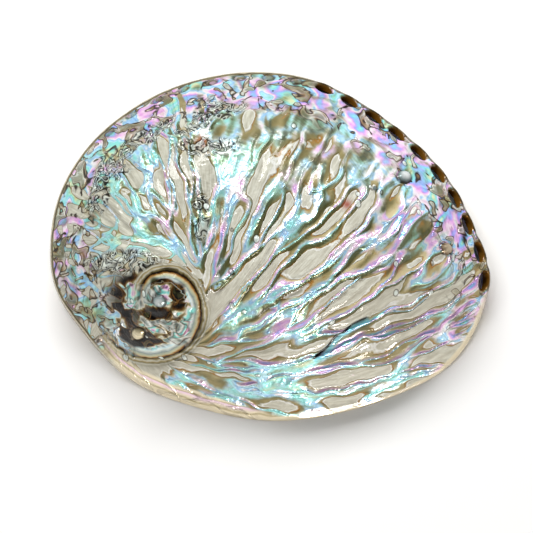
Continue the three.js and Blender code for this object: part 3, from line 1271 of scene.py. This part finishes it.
def suture_marks(graph, color):
    """Thin bands of every layer where the suture dips through them."""
    offset = graph.fit(graph.wander, 0.15, graph.suture_offset)
    place = graph.fit(offset, 0.125, 0.6)
    bands = graph.ramp(place, [
        (0.00, STEEL), (0.22, PALE_CYAN), (0.30, SILVER), (0.40, STEEL), (0.47, GREEN_GREY),
        (0.52, OLIVE_PALE), (0.56, OCHRE), (0.58, BROWN), (0.60, BLACK), (0.62, DARK_BROWN),
        (0.67, OLIVE), (0.71, CORE), (0.75, OLIVE_PALE), (0.79, OLIVE), (0.85, CORE),
        (0.95, OLIVE),
    ])
    worn = graph.step(graph.total(offset, (graph.patches, 3.0)), -3.0, -1.2)
    near = graph.times(worn, graph.step(offset, -4.2, -2.0), graph.step(offset, 3.0, 2.0))
    return graph.mix(color, bands, near, graph.field("suture"))


def wall_marks(graph, color):
    """The edge of the keel, dark and pale by turns, and the growth lines down the wall under it."""
    down = graph.fit(graph.wander, 0.08, graph.past_edge)
    uneven = graph.fit(graph.swirl, 0.5, down)
    lines = graph.ramp(graph.fit(uneven, 0.06, 0.06), [
        (0.03, OLIVE), (0.07, DARK_BROWN), (0.11, OLIVE_PALE), (0.16, LIP_CREAM),
        (0.19, DARK_BROWN), (0.24, LIP_CREAM), (0.34, OLIVE), (0.40, BROWN), (0.44, OLIVE_PALE),
        (0.62, OLIVE_DARK), (0.66, LIP_CREAM), (0.84, BROWN), (0.88, LIP_CREAM),
    ])
    under_holes = graph.step(graph.x, *DARK_WALL_X)
    near_top = graph.step(down, *DARK_WALL_DOWN)
    lines = graph.mix(lines, DARK_BROWN, under_holes, near_top, 0.6)
    on_wall = graph.times(graph.step(down, -0.7, -0.3), graph.step(graph.keel_side, 0.3, 0.6))
    return graph.mix(color, lines, on_wall)


def lip_marks(graph, color):
    """The newest growth along the lip: a thin cream edge, and beside the spire wider bands."""
    inwards = graph.fit(graph.patches, 0.4, graph.past_edge)
    inwards = graph.times(inwards, -0.16)
    edge = graph.ramp(inwards, [
        (0.0, LIP_CREAM), (0.20, CREAM), (0.26, OLIVE_PALE), (0.34, CREAM), (0.50, PALE_PINK),
        (0.56, OLIVE_PALE), (0.62, CREAM), (0.90, CORE),
    ])
    wide = graph.times(graph.step(graph.x, *WIDE_LIP_X), -0.6)
    near = graph.step(graph.total(inwards, wide), 0.24, 0.08)
    near = graph.times(near, graph.step(graph.keel_side, 0.6, 0.3))
    return graph.mix(color, edge, near)


def spot_marks(graph, color):
    """Bubbles and pearls, with painted highlights and shade on them, the rings round them and round
    the sealed holes, and the crack.
    """
    # Painted highlight in the middle of each bubble, and painted shade as a dark outline round it.
    color = graph.mix(color, SILVER, graph.step(graph.bubble, 0.0, 0.4))
    color = graph.mix(color, DARK_BROWN, graph.line(graph.bubble, 0.0, 0.25), 0.7)
    color = graph.mix(color, OLIVE_SHADE, graph.field("sealed"), 0.6)
    # Painted light and shade on the pearls: each runs by its height from dark at its edge to pale on
    # its top.
    pearl = graph.ramp(graph.times(graph.field("pearl"), 0.6), [
        (0.0, SLATE), (0.5, STEEL), (0.95, WHITE),
    ])
    golden = graph.mix(BROWN, CREAM, graph.field("pearl"), 0.4)
    pearl = graph.mix(pearl, golden, graph.step(graph.x, *GOLDEN_PEARL_X))
    creamy = graph.mix(OLIVE, CREAM, graph.field("pearl"), 0.6)
    pearl = graph.mix(pearl, creamy, graph.step(graph.y, *CREAMY_PEARL_Y))
    color = graph.mix(color, pearl, graph.pearl)
    color = graph.mix(color, DARK_BROWN, graph.field("ring"), 0.9)
    color = graph.mix(color, BRIGHT_BLUE, graph.field("crack_glow"), 0.8)
    return graph.mix(color, BLACK, graph.step(graph.field("crack"), 0.5, 0.9))


def inside_color(graph):
    """Smooth nacre in wide soft bands, duller on the scar of the muscle."""
    bands = graph.lumps(22.0, detail=2.0, distortion=1.2)
    fine = graph.noise(graph.scaled(graph.flow, *INSIDE_STREAKS), 1.0, 2.0)
    hue = graph.total(0.5, (bands, 0.45), (fine, 0.06))
    tint = graph.ramp(graph.math("PINGPONG", hue, 1.0), NACRE_HUES)
    color = graph.mix(SILVER, tint, 0.85, blend="MULTIPLY")
    scar = graph.mix(OLIVE_PALE, MINT, graph.step(graph.lumps(3.0, detail=3.0), -0.6, 0.6))
    return graph.mix(color, scar, graph.field("scar"), 0.55)


def shell_bump(graph):
    """The relief too fine for the mesh, in mm."""
    rough_relief = graph.total(
        (graph.swirl, 0.3),
        (graph.line(graph.swirl, ISLAND_RIM, 0.15), -0.3),
    )
    crest_height = graph.fit(graph.strong, 0.18, 0.12)
    relief = graph.total(
        (graph.wander, 0.08),
        (graph.streaks, 0.03),
        (graph.crinkles, graph.beside_lip, 0.03),
        (graph.scribble, graph.pits, 0.30),
        (graph.step(graph.bubble, 0.0, 1.0), 0.4),
        (rough_relief, graph.rough),
        (graph.line(graph.core, CORE_LEVEL, 0.07), -0.20),
        (graph.line(graph.crest, 0.05, 0.14), crest_height),
    )
    at_edge = graph.step(graph.past_edge, -1.6, -0.8)
    smooth = graph.math("MAXIMUM", graph.pearl, graph.field("inside"))
    smooth = graph.flipped(graph.math("MAXIMUM", smooth, at_edge))
    bump = graph.add("ShaderNodeBump")
    bump.inputs["Strength"].default_value = BUMP_STRENGTH
    bump.inputs["Distance"].default_value = MM
    graph.feed(bump.inputs["Height"], graph.times(relief, smooth))
    return bump.outputs[0]


def shell_material():
    """Polished abalone."""
    material = bpy.data.materials.new("polished_shell")
    material.use_nodes = True
    graph = ShellGraph(material)
    bare = graph.step(graph.crest, 0.50, 0.20)
    nacre = nacre_color(graph)
    color = graph.mix(layered_color(graph), nacre, bare)
    color = graph.mix(color, spire_color(graph, nacre), graph.spire)
    for marks in (keel_marks, pit_marks, suture_marks, wall_marks, lip_marks, spot_marks):
        color = marks(graph, color)
    # Painted shade: the side towards the keel, lit most by the key lamp, is darkened.
    keelwards = graph.fit(graph.x, PAINTED_SHADE_TILT, graph.y)
    color = graph.mix(color, KEEL_SIDE_PAINTED_SHADE, graph.step(keelwards, *PAINTED_SHADE_REACH), 0.7, blend="MULTIPLY")
    color = graph.mix(color, inside_color(graph), graph.field("inside"))
    # The open holes and a thin ring round them: brown in part their own colour, in part painted shade.
    color = graph.mix(color, HOLE_BROWN_AND_SHADE, graph.field("hole"))

    shader = graph.add("ShaderNodeBsdfPrincipled")
    graph.feed(shader.inputs["Base Color"], color)
    metal = graph.fit(graph.strong, 0.32, 0.12)
    graph.feed(shader.inputs["Metallic"], graph.times(bare, metal))
    graph.feed(shader.inputs["Roughness"], graph.fit(bare, -0.12, 0.36))
    graph.feed(shader.inputs["Normal"], shell_bump(graph))
    for name, value in POLISH.items():
        shader.inputs[name].default_value = value
    output = graph.add("ShaderNodeOutputMaterial")
    graph.feed(output.inputs["Surface"], shader.outputs[0])
    return material


# ---------------------------------------------------------------- floor, light and camera

FLOOR_REACH = 2200                # mm, each way
FLOOR_COLOR = (0.95, 0.95, 0.95)
FLOOR_SURFACE = {"Roughness": 0.7, "Specular IOR Level": 0.2}

# The room's light: how strong it is from the sides and from above, and the height, as the sine of
# its angle, at which the one has turned into the other.
ROOM_COLOR = (1, 0.94, 0.87, 1)
ROOM_SIDES = 0.8
ROOM_ABOVE = 0.14
ROOM_TURNS = 0.22

# Softboxes: name, place and size in metres, watts, colour.
SOFTBOXES = [
    ("key", (-0.38, 1.38, 1.32), (1.8, 0.36), 55, (1, 1, 1)),
    ("fill", (0.6, -1.74, 0.34), (0.8, 0.2), 26, (1, 0.95, 0.89)),
    ("glint", (-0.7, 0.5, 1.8), (0.2, 0.2), 3, (1, 1, 1)),
]
LIT_POINT = (0, 0, 0.02)

VIEW_LENS = 100
VIEW_ELEVATION = math.radians(86)
VIEW_WIDTH = 0.1808               # metres across the picture, at the middle of the view
VIEW_MIDDLE = Vector((-0.0012, -0.0071, 0.004))


def floor_material():
    """Pale, matt and plain."""
    material = bpy.data.materials.new("pale_floor")
    material.use_nodes = True
    shader = material.node_tree.nodes["Principled BSDF"]
    shader.inputs["Base Color"].default_value = linear(FLOOR_COLOR)
    for name, value in FLOOR_SURFACE.items():
        shader.inputs[name].default_value = value
    return material


def add_floor():
    """A flat floor that reaches past the edges of every view."""
    ways = ((-1, -1, 0), (1, -1, 0), (1, 1, 0), (-1, 1, 0))
    floor = new_object(new_mesh("floor", FLOOR_REACH * np.array(ways), [(0, 1, 2, 3)]))
    floor.data.materials.append(floor_material())


def aim(shape, target):
    """Turns a lamp or a camera to face a point."""
    direction = Vector(target) - shape.location
    shape.rotation_euler = direction.to_track_quat("-Z", "Y").to_euler()


def add_softbox(name, place, size, power, color):
    """One rectangular lamp that faces the shell."""
    lamp = bpy.data.lights.new(name, "AREA")
    lamp.shape = "RECTANGLE"
    lamp.size, lamp.size_y = size
    lamp.energy = power
    lamp.color = color
    shape = new_object(lamp)
    shape.location = place
    aim(shape, LIT_POINT)


def add_room_light():
    """Soft light from all round, stronger from the sides than from above."""
    world = bpy.data.worlds.new("studio")
    bpy.context.scene.world = world
    world.use_nodes = True
    tree = world.node_tree
    direction = tree.nodes.new("ShaderNodeTexCoord")
    split = tree.nodes.new("ShaderNodeSeparateXYZ")
    tree.links.new(direction.outputs["Generated"], split.inputs[0])
    height = tree.nodes.new("ShaderNodeMapRange")
    height.inputs["From Max"].default_value = ROOM_TURNS
    height.inputs["To Min"].default_value = ROOM_SIDES
    height.inputs["To Max"].default_value = ROOM_ABOVE
    tree.links.new(split.outputs["Z"], height.inputs["Value"])
    background = tree.nodes["Background"]
    tree.links.new(height.outputs["Result"], background.inputs["Strength"])
    background.inputs["Color"].default_value = ROOM_COLOR


def add_camera():
    """The photograph's view: from high over the lip, with a long lens."""
    lens = bpy.data.cameras.new("camera")
    lens.lens = VIEW_LENS
    camera = new_object(lens)
    distance = VIEW_WIDTH * lens.lens / lens.sensor_width
    away = Vector((0, -math.cos(VIEW_ELEVATION), math.sin(VIEW_ELEVATION)))
    camera.location = VIEW_MIDDLE + away * distance
    aim(camera, VIEW_MIDDLE)
    bpy.context.scene.camera = camera


# ---------------------------------------------------------------- the scene

bpy.context.scene.view_settings.view_transform = "Standard"
add_camera()
add_room_light()
for softbox in SOFTBOXES:
    add_softbox(*softbox)
add_floor()

shell = build_shell()
shell.data.materials.clear()
shell.data.materials.append(shell_material())
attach(shell, "root")
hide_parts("shell")
